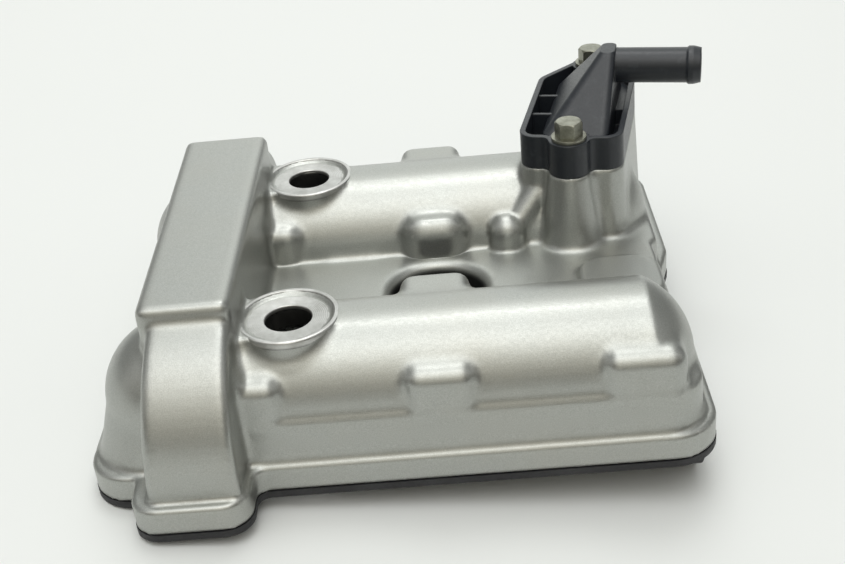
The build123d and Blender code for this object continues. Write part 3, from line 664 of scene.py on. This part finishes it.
def world_light():
    """A studio sky, brightest overhead and dim in front and at the sides, and one softbox."""
    world = bpy.data.worlds.new("studio")
    bpy.context.scene.world = world
    world.use_nodes = True
    tree = world.node_tree
    ground = tree.nodes["Background"]
    output = tree.nodes["World Output"]
    where = tree.nodes.new("ShaderNodeTexCoord").outputs["Generated"]
    parts = tree.nodes.new("ShaderNodeSeparateXYZ")
    tree.links.new(where, parts.inputs[0])

    def colour_ramp(value, stops):
        node = tree.nodes.new("ShaderNodeValToRGB")
        tree.links.new(value, node.inputs["Fac"])
        elements = node.color_ramp.elements
        while len(elements) < len(stops):
            elements.new(0.5)
        for element, (at, colour) in zip(elements, stops):
            element.position = at
            element.color = (*colour, 1)
        return node.outputs["Color"]

    tilt = tree.nodes.new("ShaderNodeMath")
    tilt.operation = "ARCTAN2"
    tree.links.new(parts.outputs["Y"], tilt.inputs[0])
    tree.links.new(parts.outputs["Z"], tilt.inputs[1])
    turn = tree.nodes.new("ShaderNodeMapRange")
    turn.inputs["From Min"].default_value = -SKY_SPAN
    turn.inputs["From Max"].default_value = SKY_SPAN
    tree.links.new(tilt.outputs[0], turn.inputs["Value"])
    arch = colour_ramp(turn.outputs["Result"], [
        (0.5 + math.radians(angle) / (2 * SKY_SPAN), colour) for angle, colour in SKY])
    aside = tree.nodes.new("ShaderNodeMath")
    aside.operation = "ABSOLUTE"
    tree.links.new(parts.outputs["X"], aside.inputs[0])
    fade = tree.nodes.new("ShaderNodeMapRange")
    fade.interpolation_type = "SMOOTHSTEP"
    fade.inputs["From Min"].default_value = SKY_FADE[0]
    fade.inputs["From Max"].default_value = SKY_FADE[1]
    fade.inputs["To Min"].default_value = SKY_LEVEL
    fade.inputs["To Max"].default_value = SKY_SIDES * SKY_LEVEL
    tree.links.new(aside.outputs[0], fade.inputs["Value"])
    tree.links.new(arch, ground.inputs["Color"])
    tree.links.new(fade.outputs["Result"], ground.inputs["Strength"])
    seen = tree.nodes.new("ShaderNodeBackground")
    seen.inputs["Color"].default_value = BACKDROP
    path = tree.nodes.new("ShaderNodeLightPath")
    pick = tree.nodes.new("ShaderNodeMixShader")
    tree.links.new(path.outputs["Is Camera Ray"], pick.inputs[0])
    tree.links.new(ground.outputs[0], pick.inputs[1])
    tree.links.new(seen.outputs[0], pick.inputs[2])
    tree.links.new(pick.outputs[0], output.inputs["Surface"])

    lamp = bpy.data.lights.new("softbox", "AREA")
    lamp.shape = "RECTANGLE"
    lamp.size, lamp.size_y = BOX_SIZE
    lamp.energy = BOX_WATTS
    box = link("softbox", lamp)
    box.location = BOX_AT
    box.rotation_euler = (BOX_TILT, 0, 0)


def camera():
    """The photograph's camera."""
    ahead = Vector((math.sin(YAW) * math.cos(PITCH), math.cos(YAW) * math.cos(PITCH),
                    -math.sin(PITCH)))
    right = ahead.cross(Vector((0, 0, 1))).normalized()
    down = ahead.cross(right)
    turned_right = math.cos(ROLL) * right + math.sin(ROLL) * down
    turned_down = math.cos(ROLL) * down - math.sin(ROLL) * right
    data = bpy.data.cameras.new("camera")
    data.sensor_fit = "HORIZONTAL"
    data.sensor_width = 36
    data.lens = LENS
    data.clip_start = 0.01
    eye = link("camera", data)
    axes = Matrix((turned_right, -turned_down, -ahead)).transposed()
    eye.matrix_world = Matrix.Translation(CAMERA_AT) @ axes.to_4x4()
    bpy.context.scene.camera = eye


bpy.context.scene.view_settings.view_transform = "Standard"
camera()
floor_plane()
world_light()
dress_nodes()
skin = cast_skin()
skin.data.materials.clear()
skin.data.materials.append(cast_finish("silver_casting"))
rings = pad_rings()
rings.data.materials.append(machined_finish())
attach(rings, "cover")
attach(skin, "cover")
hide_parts("cover_casting")
